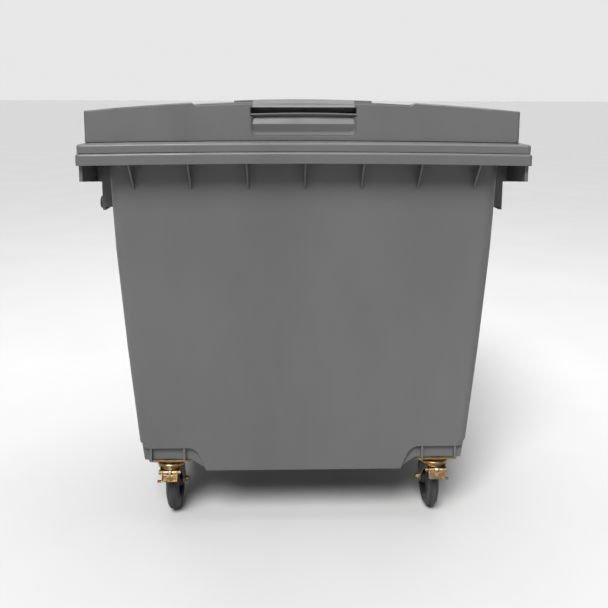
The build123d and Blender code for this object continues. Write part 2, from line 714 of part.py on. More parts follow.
def make_grip_insert():
    """The thin arched blade across the grip recess and the scoop below it, as one moulding."""
    front_y, back_y = CROWN_FRONT_Y, CROWN_FRONT_Y + GRIP_DEPTH - FIT
    face_y = front_y + 0.5
    fitted = grip_pocket(-FIT)
    scoop = grip_scoop()
    with BuildPart() as insert:
        add(fitted)
        with BuildSketch(Plane.YZ):
            with BuildLine():
                Polyline((face_y, BLADE_TOP), (back_y, BLADE_TOP), (back_y, GRIP_LOW - 10),
                         (face_y, GRIP_LOW - 10), close=True)
            make_face()
        extrude(amount=2 * GRIP_HALF, both=True, mode=Mode.INTERSECT)
        # above the blade
        edge = GRIP_HALF + 10
        end_top, end_low = BLADE_TOP - BLADE_RISE, BLADE_LOW - BLADE_RISE
        with BuildSketch(Plane.XZ.offset(-face_y + 1)):
            with BuildLine():
                ThreePointArc((-edge, end_top), (0, BLADE_TOP), (edge, end_top))
                Polyline((edge, end_top), (edge, BLADE_TOP + 5), (-edge, BLADE_TOP + 5), (-edge, end_top))
            make_face()
        extrude(amount=-2 * GRIP_DEPTH, mode=Mode.SUBTRACT)
        front_edges = insert.edges().filter_by(lambda e: abs(e.center().Y - face_y) < 0.01)
        chamfer(front_edges.sort_by(Axis.Z)[-1], length=BLADE_CHAMFER)
        # the gap under the blade, down to the scoop
        gap_low = SCOOP_TOP - 0.5
        with BuildSketch(Plane.XZ.offset(-face_y + 1)):
            with BuildLine():
                ThreePointArc((-edge, end_low), (0, BLADE_LOW), (edge, end_low))
                Polyline((edge, end_low), (edge, gap_low), (-edge, gap_low), (-edge, end_low))
            make_face()
        extrude(amount=-(SCOOP_TOP_DEPTH + 0.5), mode=Mode.SUBTRACT)
        add(scoop, mode=Mode.SUBTRACT)
    return Pos(CROWN_X, 0, 0) * insert.part


# ======================= hinge pins =======================

def make_hinge_pins():
    """One headed pin at each hinge, passed in from the outer side."""
    reach = KNUCKLE_HALF + LUG_GAP + LUG_THICK
    with BuildPart() as pins:
        for side in (-1, 1):
            with BuildSketch(Plane.YZ.offset(side * (HINGE_X + reach + PIN_PLAY))):
                with Locations((HINGE_Y, HINGE_Z)):
                    Circle(PIN_R)
            extrude(amount=-side * (2 * reach + 8))
            with BuildSketch(Plane.YZ.offset(side * (HINGE_X + reach + PIN_PLAY))):
                with Locations((HINGE_Y, HINGE_Z)):
                    Circle(PIN_HEAD_R)
            extrude(amount=side * PIN_HEAD_T)
    return pins.part


def make_hinge_clips():
    """A push-on retaining clip on the inner end of each pin."""
    reach = KNUCKLE_HALF + LUG_GAP + LUG_THICK
    with BuildPart() as clips:
        for side in (-1, 1):
            with BuildSketch(Plane.YZ.offset(side * (HINGE_X - reach - PIN_PLAY))):
                with Locations((HINGE_Y, HINGE_Z)):
                    Circle(CLIP_R)
                    Circle(PIN_R + 0.02, mode=Mode.SUBTRACT)
            extrude(amount=-side * CLIP_T)
    return clips.part


# ======================= rear handles =======================

def make_handle(side):
    """A bolted push handle: a plate, two legs and a round bar."""
    bar_y = REAR_Y - HANDLE_R
    with BuildPart() as handle:
        with BuildSketch(Plane.XZ.offset(-PAD_FACE_Y)):
            with Locations((side * HANDLE_X, HANDLE_Z)):
                RectangleRounded(2 * (HANDLE_HALF + PAD_MARGIN) - 8, PAD_HEIGHT - 8, 10)
        extrude(amount=-HANDLE_PLATE)
        for leg in (-1, 1):
            with BuildSketch(Plane.XZ.offset(-PAD_FACE_Y - HANDLE_PLATE / 2)):
                with Locations((side * HANDLE_X + leg * HANDLE_HALF * 0.62, HANDLE_Z)):
                    Circle(HANDLE_R - 2)
            extrude(amount=-(bar_y - PAD_FACE_Y - HANDLE_PLATE / 2))
        with BuildSketch(Plane.YZ.offset(side * HANDLE_X)):
            with Locations((bar_y, HANDLE_Z)):
                Circle(HANDLE_R)
        extrude(amount=HANDLE_HALF + 12, both=True)
        fillet(handle.edges().filter_by(GeomType.CIRCLE).group_by(Axis.Y)[-1], radius=4)
        with BuildSketch(Plane.XZ.offset(-PAD_FACE_Y + 5)):
            with Locations((side * HANDLE_X, HANDLE_Z)):
                with GridLocations(2 * HANDLE_HALF, HANDLE_SCREW_PITCH, 2, 2):
                    Circle(HANDLE_SCREW_R + 0.3)
        extrude(amount=-30, mode=Mode.SUBTRACT)
    return handle.part


def make_handle_screws():
    with BuildPart() as screws:
        for side in (-1, 1):
            with BuildSketch(Plane.XZ.offset(-PAD_FACE_Y - HANDLE_PLATE)):
                with Locations((side * HANDLE_X, HANDLE_Z)):
                    with GridLocations(2 * HANDLE_HALF, HANDLE_SCREW_PITCH, 2, 2):
                        RegularPolygon(radius=7.5, side_count=6)
            extrude(amount=-5)
            with BuildSketch(Plane.XZ.offset(-PAD_FACE_Y - HANDLE_PLATE)):
                with Locations((side * HANDLE_X, HANDLE_Z)):
                    with GridLocations(2 * HANDLE_HALF, HANDLE_SCREW_PITCH, 2, 2):
                        Circle(HANDLE_SCREW_R)
            extrude(amount=34)
    return screws.part


# ======================= drain and trunnions =======================

def make_drain_seal():
    with BuildPart() as seal:
        with BuildSketch(Plane.XZ.offset(-DRAIN_FACE_Y)):
            with Locations((0, DRAIN_Z)):
                Circle(DRAIN_R + 7)
                Circle(DRAIN_R + 0.5, mode=Mode.SUBTRACT)
        extrude(amount=-SEAL_T)
    return seal.part


def make_drain_plug():
    with BuildPart() as plug:
        with BuildSketch(Plane.XZ.offset(-DRAIN_FACE_Y - SEAL_T)):
            with Locations((0, DRAIN_Z)):
                Circle(DRAIN_R - 0.3)
        extrude(amount=32)
        with BuildSketch(Plane.XZ.offset(-DRAIN_FACE_Y - SEAL_T)):
            with Locations((0, DRAIN_Z)):
                Circle(DRAIN_R + 9)
        extrude(amount=-PLUG_HEAD_T)
        with BuildSketch(Plane.XZ.offset(-DRAIN_FACE_Y - SEAL_T - PLUG_HEAD_T)):
            with Locations((0, DRAIN_Z)):
                Rectangle(34, 10)
        extrude(amount=-12)
        fillet(plug.edges().filter_by(GeomType.CIRCLE).sort_by(Axis.Y)[-1], radius=1.5)
    return plug.part


def make_trunnion(side, head):
    """A stub pressed into the side box, with a round head standing out by head millimetres."""
    centre_y = (BOX_FRONT_Y + BOX_REAR_Y) / 2
    with BuildPart() as trunnion:
        with BuildSketch(Plane.YZ.offset(side * BOX_OUT_X)):
            with Locations((centre_y, TRUNNION_Z)):
                Circle(TRUNNION_R)
        extrude(amount=side * head)
        fillet(trunnion.edges().sort_by(Axis.X)[0 if side < 0 else -1], radius=min(3.0, head * 0.4))
        with BuildSketch(Plane.YZ.offset(side * BOX_OUT_X)):
            with Locations((centre_y, TRUNNION_Z)):
                Circle(TRUNNION_STUB_R)
        extrude(amount=-side * TRUNNION_STUB_LENGTH)
    return trunnion.part


# ======================= castor pieces, in the castor's own frame =======================
# The swivel axis is Z through the origin, the wheel trails towards +Y, and the outer side is -X.

def make_plate():
    """The top plate, its middle pressed down into a wide dish that holds the ball race."""
    with BuildPart() as plate:
        with BuildSketch(Plane.XY.offset(SEAT_Z - PLATE_T)):
            RectangleRounded(PLATE_X, PLATE_Y, PLATE_CORNER)
            Circle(CUP_R + 1, mode=Mode.SUBTRACT)
            with GridLocations(BOLT_X, BOLT_Y, 2, 2):
                Circle(BOLT_R + BOLT_CLEARANCE, mode=Mode.SUBTRACT)
        extrude(amount=PLATE_T)
        with BuildSketch(Plane.XZ):
            with BuildLine():
                Polyline(
                    (CUP_R, SEAT_Z),
                    (CUP_R + 1.5, SEAT_Z),
                    (CUP_R + 1.5, SEAT_Z - PLATE_T),
                    (CUP_LOW_R + 4, CUP_FLOOR_Z + 6),
                    (CUP_LOW_R, CUP_FLOOR_Z),
                    (AXLE_R + FIT, CUP_FLOOR_Z),
                    (AXLE_R + FIT, CUP_FLOOR_Z + CUP_SKIN),
                    (CUP_LOW_R - 3, CUP_FLOOR_Z + CUP_SKIN),
                    (CUP_LOW_R, CUP_FLOOR_Z + 7),
                    close=True,
                )
            make_face()
        revolve(axis=Axis.Z)
    return plate.part


def make_kingpin():
    """The swivel bolt: hexagon head in the dish, riveted head under the fork's crown."""
    head_z = CUP_FLOOR_Z + CUP_SKIN
    rivet_z = CROWN_LOW_Z - 0.1
    with BuildPart() as pin:
        with BuildSketch(Plane.XY.offset(head_z)):
            RegularPolygon(radius=10.5, side_count=6)
        extrude(amount=7)
        with BuildSketch(Plane.XY.offset(rivet_z)):
            Circle(AXLE_R)
        extrude(amount=head_z - rivet_z)
        with BuildSketch(Plane.XY.offset(rivet_z)):
            Circle(AXLE_R + 3.5)
        extrude(amount=-4)
    return pin.part


def make_ball_race():
    """The ring of balls between the plate's dish and the fork's crown."""
    count = 18
    with BuildPart() as balls:
        with Locations((0, 0, CUP_FLOOR_Z - BALL_R - 0.02)):
            with PolarLocations(BALL_RING, count):
                Sphere(BALL_R)
    return balls.part


def fork_leg_outline(leg_top):
    """The side view of a fork leg, from under the bowl back to the axle."""
    return [
        (-30, leg_top),
        (26, leg_top),
        (44, leg_top - 16),
        (TRAIL + 19, WHEEL_R + 6),
        (TRAIL, WHEEL_R - 8),
        (TRAIL - 18, WHEEL_R + 4),
        (6, WHEEL_R + 62),
        (-26, leg_top - 26),
    ]


def make_fork(braked):
    """The swivel fork: a bowl-shaped crown and two legs that trail back to the axle."""
    crown_top = CUP_FLOOR_Z - 0.6
    race_z = crown_top - 2 * BALL_R
    leg_top = CROWN_LOW_Z + 4
    with BuildPart() as fork:
        with BuildSketch(Plane.XZ):
            with BuildLine():
                Polyline(
                    (BOWL_LOW_R - 3, BOWL_LOW_Z),
                    (BOWL_LOW_R - 5, CROWN_LOW_Z),
                    (AXLE_R + FIT, CROWN_LOW_Z),
                    (AXLE_R + FIT, race_z),
                    (BALL_RING + 6, race_z),
                    (BALL_RING + 8, crown_top),
                    (BOWL_R - 6, crown_top),
                )
                Spline(
                    (BOWL_R - 6, crown_top),
                    (BOWL_R - 1, crown_top - 3),
                    (BOWL_R - 1, crown_top - 10),
                    (BOWL_R - 6.5, BOWL_LOW_Z + 6.5),
                    (BOWL_LOW_R, BOWL_LOW_Z),
                    tangents=((1, -0.1), (-1, -0.35)),
                )
                Line((BOWL_LOW_R, BOWL_LOW_Z), (BOWL_LOW_R - 3, BOWL_LOW_Z))
            make_face()
        revolve(axis=Axis.Z)
        # the bowl's rear is cut away above the wheel
        with BuildSketch(Plane.YZ):
            with Locations((TRAIL, WHEEL_R)):
                Circle(WHEEL_R + WHEEL_CLEARANCE)
        extrude(amount=FORK_IN - 1, both=True, mode=Mode.SUBTRACT)
        for side in (-1, 1):
            with BuildSketch(Plane.YZ.offset(side * (FORK_IN + FORK_OUT) / 2)):
                with BuildLine():
                    Polyline(*fork_leg_outline(leg_top), close=True)
                make_face()
                with Locations((TRAIL, WHEEL_R)):
                    Circle(LEG_END_R)
            extrude(amount=(FORK_OUT - FORK_IN) / 2, both=True)
            if braked:
                with BuildSketch(Plane.YZ.offset(side * (FORK_IN + FORK_OUT) / 2)):
                    with BuildLine():
                        Polyline(
                            (-10, leg_top),
                            (PIVOT_Y, PIVOT_Z + PIVOT_BOSS_R),
                            (PIVOT_Y, PIVOT_Z - PIVOT_BOSS_R),
                            (-10, leg_top - 26),
                            close=True,
                        )
                    make_face()
                    with Locations((PIVOT_Y, PIVOT_Z)):
                        Circle(PIVOT_BOSS_R)
                extrude(amount=(FORK_OUT - FORK_IN) / 2, both=True)
        with BuildSketch(Plane.YZ):
            with Locations((TRAIL, WHEEL_R)):
                Circle(AXLE_R + FIT)
            if braked:
                with Locations((PIVOT_Y, PIVOT_Z)):
                    Circle(PIVOT_R + FIT)
        extrude(amount=50, both=True, mode=Mode.SUBTRACT)
    return fork.part


def make_axle_bolt():
    """Axle bolt with its head on the outer side."""
    with BuildPart() as bolt:
        with BuildSketch(Plane.YZ.offset(-FORK_OUT)):
            with Locations((TRAIL, WHEEL_R)):
                RegularPolygon(radius=NUT_R, side_count=6)
        extrude(amount=-7.5)
        with BuildSketch(Plane.YZ.offset(-FORK_OUT)):
            with Locations((TRAIL, WHEEL_R)):
                Circle(AXLE_R)
        extrude(amount=2 * FORK_OUT + 14)
    return bolt.part


def make_axle_nut():
    with BuildPart() as nut:
        with BuildSketch(Plane.YZ.offset(FORK_OUT)):
            with Locations((TRAIL, WHEEL_R)):
                RegularPolygon(radius=NUT_R, side_count=6)
                Circle(AXLE_R + FIT, mode=Mode.SUBTRACT)
        extrude(amount=10)
    return nut.part


def make_bush():
    """The wheel's plain bearing, clamped between the fork legs."""
    with BuildPart() as bush:
        with BuildSketch(Plane.YZ):
            with Locations((TRAIL, WHEEL_R)):
                Circle(BUSH_R)
                Circle(AXLE_R + FIT, mode=Mode.SUBTRACT)
        extrude(amount=FORK_IN, both=True)
    return bush.part


def make_wheel_core():
    hub_half, rim_half, web_half = 27.0, 20.0, 6.0
    with BuildPart() as core:
        with BuildSketch(Plane.XY.offset(WHEEL_R)):
            with BuildLine():
                Polyline(
                    (-hub_half, TRAIL + BUSH_R + FIT),
                    (-hub_half, TRAIL + 21),
                    (-web_half, TRAIL + 26),
                    (-web_half, TRAIL + CORE_R - 16),
                    (-rim_half, TRAIL + CORE_R - 10),
                    (-rim_half, TRAIL + CORE_R),
                    (rim_half, TRAIL + CORE_R),
                    (rim_half, TRAIL + CORE_R - 10),
                    (web_half, TRAIL + CORE_R - 16),
                    (web_half, TRAIL + 26),
                    (hub_half, TRAIL + 21),
                    (hub_half, TRAIL + BUSH_R + FIT),
                    close=True,
                )
            make_face()
        revolve(axis=Axis((0, TRAIL, WHEEL_R), (1, 0, 0)))
    return core.part


def make_tyre():
    """A solid tyre whose sides draw in to a narrow crowned tread with two moulded grooves."""
    outer = TRAIL + WHEEL_R
    inner = TRAIL + CORE_R
    # half width of the section at each depth below the tread's crown
    flank = [(1.2, 9.0), (4.0, 13.5), (10.0, 17.5), (18.0, 20.5), (25.0, WHEEL_W / 2)]
    left = [(-half, outer - drop) for drop, half in flank]
    right = [(half, outer - drop) for drop, half in reversed(flank)]
    side = WHEEL_W / 2 - 2
    with BuildPart() as tyre:
        with BuildSketch(Plane.XY.offset(WHEEL_R)):
            with BuildLine():
                Polyline(*left, (-side, inner), (side, inner), *right)
                ThreePointArc(right[-1], (0, outer), left[0])
            make_face()
            for groove in (-4.5, 4.5):
                with Locations((groove, outer)):
                    Rectangle(1.6, 3, mode=Mode.SUBTRACT)
        revolve(axis=Axis((0, TRAIL, WHEEL_R), (1, 0, 0)))
    return tyre.part


def make_pedal():
    """Brake pedal: a framed tray in front of the wheel, a shoe behind it and a release tab outside."""
    top_y, top_z = PIVOT_Y - 5.5, PIVOT_Z + 2
    low_y, low_z = PIVOT_Y - 16, PIVOT_Z - 24
    lean = (top_y - low_y) / (top_z - low_z)
    with BuildPart() as pedal:
        with BuildSketch(Plane.YZ):
            with BuildLine():
                Polyline((top_y, top_z), (low_y, low_z), (low_y + 4, low_z - 1), (top_y + 4, top_z - 1),
                         close=True)
            make_face()
            with Locations((PIVOT_Y, PIVOT_Z)):
                Circle(PIVOT_BOSS_R)
        extrude(amount=PEDAL_HALF, both=True)
        # raised frame at both sides
        for side in (-1, 1):
            with BuildSketch(Plane.YZ.offset(side * (PEDAL_HALF - 1.5))):
                with BuildLine():
                    Polyline(
                        (top_y + 2, top_z + 3),
                        (top_y - 4, top_z + 1),
                        (low_y - 6, low_z + 2),
                        (low_y, low_z - 1),
                        close=True,
                    )
                make_face()
            extrude(amount=1.5, both=True)
        # cross bars at the top, a third of the way down and at the bottom
        for drop, depth in ((0.0, 4.0), (8.0, 4.5), (22.5, 8.0)):
            with BuildSketch(Plane.XY.offset(top_z - drop)):
                with Locations((0, top_y - drop * lean - depth / 2 + 2)):
                    Rectangle(2 * PEDAL_HALF, depth)
            extrude(amount=-2.5)
        # a stiffening rib in the middle, wide above and narrow below
        with BuildSketch(Plane.XZ.offset(-(low_y - 2))):
            with BuildLine():
                Polyline((-11, top_z - 10), (11, top_z - 10), (3, low_z + 3), (-3, low_z + 3), close=True)
            make_face()
        extrude(amount=-10)
        # release tab on the outer side of the lower edge
        with BuildSketch(Plane.XY.offset(low_z + 3)):
            with Locations((-PEDAL_HALF - 5, low_y - 1)):
                Rectangle(14, 12)
        extrude(amount=-3.5)
        # shoe towards the tread
        with BuildSketch(Plane.YZ):
            with BuildLine():
                Polyline(
                    (PIVOT_Y - 9, PIVOT_Z - 12),
                    (PIVOT_Y - 12, PIVOT_Z - 24),
                    (PIVOT_Y + 12, PIVOT_Z - 40),
                    (SHOE_LOW_Y, SHOE_LOW_Z),
                    (SHOE_HIGH_Y, SHOE_HIGH_Z),
                    close=True,
                )
            make_face()
        extrude(amount=13, both=True)
        with BuildSketch(Plane.YZ):
            with Locations((PIVOT_Y, PIVOT_Z)):
                Circle(PIVOT_R + FIT)
        extrude(amount=50, both=True, mode=Mode.SUBTRACT)
        # gap for the spring in the middle of the pivot tube
        with BuildSketch(Plane.YZ):
            with Locations((PIVOT_Y, PIVOT_Z)):
                Circle(SPRING_ROOM_R)
        extrude(amount=8, both=True, mode=Mode.SUBTRACT)
    return pedal.part


def make_pivot_pin():
    with BuildPart() as pin:
        with BuildSketch(Plane.YZ):
            with Locations((PIVOT_Y, PIVOT_Z)):
                Circle(PIVOT_R)
        extrude(amount=FORK_OUT + 3, both=True)
        with BuildSketch(Plane.YZ.offset(-FORK_OUT)):
            with Locations((PIVOT_Y, PIVOT_Z)):
                Circle(PIVOT_R + 2.5)
        extrude(amount=-3)
    return pin.part


def make_brake_spring():
    """The return spring's coils, stacked round the pivot pin."""
    wire, coil_r, coils = 1.0, 6.4, 6
    with BuildPart() as spring:
        for i in range(coils):
            offset = (i - (coils - 1) / 2) * 1.8 * wire
            with BuildSketch(Plane.XY.offset(PIVOT_Z)):
                with Locations((offset, PIVOT_Y + coil_r)):
                    Circle(wire)
            revolve(axis=Axis((0, PIVOT_Y, PIVOT_Z), (1, 0, 0)))
    return spring.part


def make_plate_bolts(kind):
    """The bolts, washers or nuts that hold the four castor plates, as one group."""
    with BuildPart() as group:
        for _, side, end, y in CASTORS:
            if kind == "bolts":
                with BuildSketch(Plane.XY.offset(SEAT_Z - PLATE_T)):
                    with Locations((side * CASTOR_X, y)):
                        with GridLocations(BOLT_X, BOLT_Y, 2, 2):
                            RegularPolygon(radius=PLATE_HEX_R, side_count=6)
                extrude(amount=-6)
                with BuildSketch(Plane.XY.offset(SEAT_Z - PLATE_T)):
                    with Locations((side * CASTOR_X, y)):
                        with GridLocations(BOLT_X, BOLT_Y, 2, 2):
                            Circle(BOLT_R)
                extrude(amount=HOUSING_TOP - SEAT_Z + PLATE_T + BOLT_TAIL)
            else:
                low = HOUSING_TOP if kind == "washers" else HOUSING_TOP + WASHER_T
                with BuildSketch(Plane.XY.offset(low)):
                    with Locations((side * CASTOR_X, y)):
                        with GridLocations(BOLT_X, BOLT_Y, 2, 2):
                            if kind == "washers":
                                Circle(WASHER_R)
                            else:
                                RegularPolygon(radius=PLATE_HEX_R, side_count=6)
                            Circle(BOLT_R + FIT, mode=Mode.SUBTRACT)
                extrude(amount=WASHER_T if kind == "washers" else PLATE_NUT_T)
    return group.part


def placed(part, side, y):
    """A castor piece at its corner; on the right-hand side it is the mirror image."""
    own = part if side < 0 else mirror(part, about=Plane.YZ)
    return Pos(side * CASTOR_X, y, 0) * own


save(make_body(), "container_body")
save(make_lid(), "lid")
save(make_grip_insert(), "lid_grip_insert")
save(make_hinge_pins(), "hinge_pins")
save(make_hinge_clips(), "hinge_pin_clips")
save(make_handle(-1), "rear_handle_left")
save(make_handle(1), "rear_handle_right")
save(make_handle_screws(), "rear_handle_screws")
save(make_drain_plug(), "drain_plug")
save(make_drain_seal(), "drain_seal")
save(make_trunnion(-1, 16.0), "trunnion_cap_left")
save(make_trunnion(1, 4.0), "trunnion_cap_right")
for group in ("bolts", "washers", "nuts"):
    save(make_plate_bolts(group), f"castor_plate_{group}")

castor_pieces = {
    "plate": make_plate(),
    "kingpin": make_kingpin(),
    "ball_race": make_ball_race(),
    "axle_bolt": make_axle_bolt(),
    "axle_nut": make_axle_nut(),
    "bush": make_bush(),
    "wheel_core": make_wheel_core(),
    "tyre": make_tyre(),
}
brake_pieces = {
    "brake_pedal": make_pedal(),
    "brake_pivot_pin": make_pivot_pin(),
    "brake_spring": make_brake_spring(),
}
forks = {"front": make_fork(True), "rear": make_fork(False)}
for corner, side, end, y in CASTORS:
    pieces = dict(castor_pieces, fork=forks["front" if end < 0 else "rear"])
    if end < 0:
        pieces.update(brake_pieces)
    for name, piece in pieces.items():
        save(placed(piece, side, y), f"{corner}_{name}")
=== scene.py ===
"""Looks of the four-wheel refuse container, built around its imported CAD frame."""
import json
import math

import bpy
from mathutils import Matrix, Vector

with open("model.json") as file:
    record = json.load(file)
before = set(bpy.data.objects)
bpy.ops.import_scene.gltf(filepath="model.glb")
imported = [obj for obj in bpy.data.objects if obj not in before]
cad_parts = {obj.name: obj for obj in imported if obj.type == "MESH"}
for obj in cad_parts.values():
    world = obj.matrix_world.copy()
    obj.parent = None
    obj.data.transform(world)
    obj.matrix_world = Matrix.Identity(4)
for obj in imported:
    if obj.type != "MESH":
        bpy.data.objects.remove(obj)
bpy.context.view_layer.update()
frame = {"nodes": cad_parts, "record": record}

# ---- plastics, metals and rubber ----
BODY_GREY = (0.092, 0.092, 0.093)
LID_GREY = (0.094, 0.094, 0.095)
HANDLE_BLACK = (0.028, 0.028, 0.029)
CORE_BLACK = (0.018, 0.018, 0.019)
SEAL_BLACK = (0.016, 0.016, 0.016)
TYRE_BLACK = (0.030, 0.030, 0.031)
PLASTIC_ROUGHNESS = 0.46
PLASTIC_WEAR = 0.12
PLASTIC_GRAIN = 0.00005
PLASTIC_RIPPLE = 0.0007
PLASTIC_EDGE = 0.0025
METAL_EDGE = 0.0012
METAL_SCRATCH = 0.0001
ZINC_SCRATCH = 0.00006
RUBBER_PEBBLE = 0.00015

# ---- stage, light and camera, in metres, degrees and watts ----
FLOOR_REACH = 300.0
FLOOR_GREY = 0.46
FAR_GLOW, NEAR_GLOW = 0.8, 0.15
KEY_PLACE = (-1.2, -4.2, 4.9)
KEY_POWER = 5.1
KEY_SOFTNESS = 26.0
OVERHEAD_PLACE = (0.0, 0.2, 5.4)
OVERHEAD_TARGET = (0.0, 0.2, 1.0)
OVERHEAD_SIZE = (5.0, 4.0)
OVERHEAD_POWER = 250.0
CAMERA_PLACE = (-0.0623, -2.729, 1.436)
CAMERA_DOWN = 8.61
CAMERA_ROLL = -0.15
CAMERA_HEADING = -1.489
LENS = 43.64
SENSOR = 36.0
LENS_SHIFT = -0.1563


# ------------------------------------------------------------------ materials

def new_material(name, base, roughness, metallic=0.0):
    """A Principled material, its node tree and its shader, ready for more nodes."""
    material = bpy.data.materials.new(name)
    material.use_nodes = True
    nodes, links = material.node_tree.nodes, material.node_tree.links
    shader = nodes["Principled BSDF"]
    shader.inputs["Base Color"].default_value = (*base, 1.0)
    shader.inputs["Roughness"].default_value = roughness
    shader.inputs["Metallic"].default_value = metallic
    return material, nodes, links, shader


def object_noise(nodes, links, scale, detail=4.0, roughness=0.55, stretch=(1.0, 1.0, 1.0)):
    """A noise texture in the object's own metres, scale being waves per metre."""
    where = nodes.new("ShaderNodeTexCoord")
    mapping = nodes.new("ShaderNodeMapping")
    mapping.inputs["Scale"].default_value = stretch
    noise = nodes.new("ShaderNodeTexNoise")
    noise.inputs["Scale"].default_value = scale
    noise.inputs["Detail"].default_value = detail
    noise.inputs["Roughness"].default_value = roughness
    links.new(where.outputs["Object"], mapping.inputs["Vector"])
    links.new(mapping.outputs["Vector"], noise.inputs["Vector"])
    return noise


def spread(nodes, links, source, low, high, low_at=0.35, high_at=0.65):
    """Maps a 0 to 1 signal onto low to high."""
    span = nodes.new("ShaderNodeMapRange")
    span.inputs["From Min"].default_value = low_at
    span.inputs["From Max"].default_value = high_at
    span.inputs["To Min"].default_value = low
    span.inputs["To Max"].default_value = high
    links.new(source, span.inputs["Value"])
    return span.outputs["Result"]


def ramp(nodes, links, source, stops):
    """A colour ramp through (position, (r, g, b)) stops."""
    node = nodes.new("ShaderNodeValToRGB")
    elements = node.color_ramp.elements
    while len(elements) < len(stops):
        elements.new(0.5)
    for element, (position, colour) in zip(elements, stops):
        element.position = position
        element.color = (*colour, 1.0)
    links.new(source, node.inputs["Fac"])
    return node.outputs["Color"]


def soft_edges(nodes, radius):
    """Normals that round every edge over a radius in metres, as a mould does."""
    edge = nodes.new("ShaderNodeBevel")
    edge.samples = 6
    edge.inputs["Radius"].default_value = radius
    return edge.outputs["Normal"]


def bump(nodes, links, shader, height, distance, strength, under=None):
    """A bump of distance metres on the shader, laid over the normals in under."""
    node = nodes.new("ShaderNodeBump")
    node.inputs["Distance"].default_value = distance
    node.inputs["Strength"].default_value = strength
    links.new(height, node.inputs["Height"])
    if under is not None:
        links.new(under, node.inputs["Normal"])
    links.new(node.outputs["Normal"], shader.inputs["Normal"])
    return node.outputs["Normal"]


def moulded_plastic(name, base, roughness=PLASTIC_ROUGHNESS):
    """Injection-moulded polyethylene: faint flow marks, a fine matt grain and soft edges."""
    material, nodes, links, shader = new_material(name, base, roughness)
    shader.inputs["Specular IOR Level"].default_value = 0.42
    flow = object_noise(nodes, links, 2.6, 5.0, 0.6, (1.0, 1.0, 0.35))
    dark = tuple(c * (1 - PLASTIC_WEAR) for c in base)
    light = tuple(c * (1 + PLASTIC_WEAR) for c in base)
    colour = ramp(nodes, links, flow.outputs["Fac"], [(0.3, dark), (0.5, base), (0.72, light)])
    speck = object_noise(nodes, links, 900.0, 2.0)
    mix = nodes.new("ShaderNodeMixRGB")
    mix.blend_type = "MULTIPLY"
    mix.inputs["Fac"].default_value = 0.35
    links.new(colour, mix.inputs["Color1"])
    tone = ramp(nodes, links, speck.outputs["Fac"], [
        (0.25, (0.78, 0.78, 0.78)),
        (0.7, (1.0, 1.0, 1.0)),
    ])
    links.new(tone, mix.inputs["Color2"])
    links.new(mix.outputs["Color"], shader.inputs["Base Color"])
    cloud = object_noise(nodes, links, 9.0, 6.0, 0.65)
    rough = spread(nodes, links, cloud.outputs["Fac"], roughness - 0.07, roughness + 0.09)
    links.new(rough, shader.inputs["Roughness"])
    texture = object_noise(nodes, links, 1500.0, 2.0)
    rounded = soft_edges(nodes, PLASTIC_EDGE)
    fine = bump(nodes, links, shader, texture.outputs["Fac"], PLASTIC_GRAIN, 0.8, rounded)
    ripple = object_noise(nodes, links, 11.0, 2.0, 0.4)
    bump(nodes, links, shader, ripple.outputs["Fac"], PLASTIC_RIPPLE, 0.35, fine)
    return material


def yellow_zinc(name):
    """Yellow chromate on zinc: gold drifting to olive and copper, blue-green at glancing angles."""
    material, nodes, links, shader = new_material(name, (0.36, 0.22, 0.08), 0.38, 1.0)
    drift = object_noise(nodes, links, 52.0, 4.0, 0.6, (1.0, 1.0, 2.0))
    colour = ramp(nodes, links, drift.outputs["Fac"], [
        (0.30, (0.20, 0.32, 0.32)),
        (0.38, (0.19, 0.17, 0.085)),
        (0.47, (0.34, 0.21, 0.085)),
        (0.55, (0.24, 0.12, 0.05)),
        (0.64, (0.46, 0.38, 0.23)),
        (0.74, (0.20, 0.30, 0.25)),
    ])
    glance = nodes.new("ShaderNodeLayerWeight")
    glance.inputs["Blend"].default_value = 0.35
    bloom = nodes.new("ShaderNodeMixRGB")
    bloom.inputs["Color2"].default_value = (0.30, 0.46, 0.50, 1.0)
    facing = spread(nodes, links, glance.outputs["Facing"], 0.0, 0.8, 0.45, 0.95)
    links.new(facing, bloom.inputs["Fac"])
    links.new(colour, bloom.inputs["Color1"])
    links.new(bloom.outputs["Color"], shader.inputs["Base Color"])
    patch = object_noise(nodes, links, 120.0, 5.0, 0.6)
    rough = spread(nodes, links, patch.outputs["Fac"], 0.3, 0.5)
    links.new(rough, shader.inputs["Roughness"])
    scratch = object_noise(nodes, links, 300.0, 3.0, 0.6, (1.0, 0.12, 1.0))
    rounded = soft_edges(nodes, METAL_EDGE)
    bump(nodes, links, shader, scratch.outputs["Fac"], METAL_SCRATCH, 0.5, rounded)
    return material


def bright_zinc(name):
    """Bright zinc plate with a faint straw tint and fine handling marks."""
    material, nodes, links, shader = new_material(name, (0.62, 0.6, 0.56), 0.3, 1.0)
    patch = object_noise(nodes, links, 60.0, 4.0)
    colour = ramp(nodes, links, patch.outputs["Fac"], [
        (0.3, (0.5, 0.5, 0.5)),
        (0.55, (0.66, 0.63, 0.56)),
        (0.7, (0.7, 0.7, 0.68)),
    ])
    links.new(colour, shader.inputs["Base Color"])
    rough = spread(nodes, links, patch.outputs["Fac"], 0.22, 0.4)
    links.new(rough, shader.inputs["Roughness"])
    scratch = object_noise(nodes, links, 420.0, 3.0, 0.6, (0.15, 1.0, 1.0))
    bump(nodes, links, shader, scratch.outputs["Fac"], ZINC_SCRATCH, 0.5)
    return material


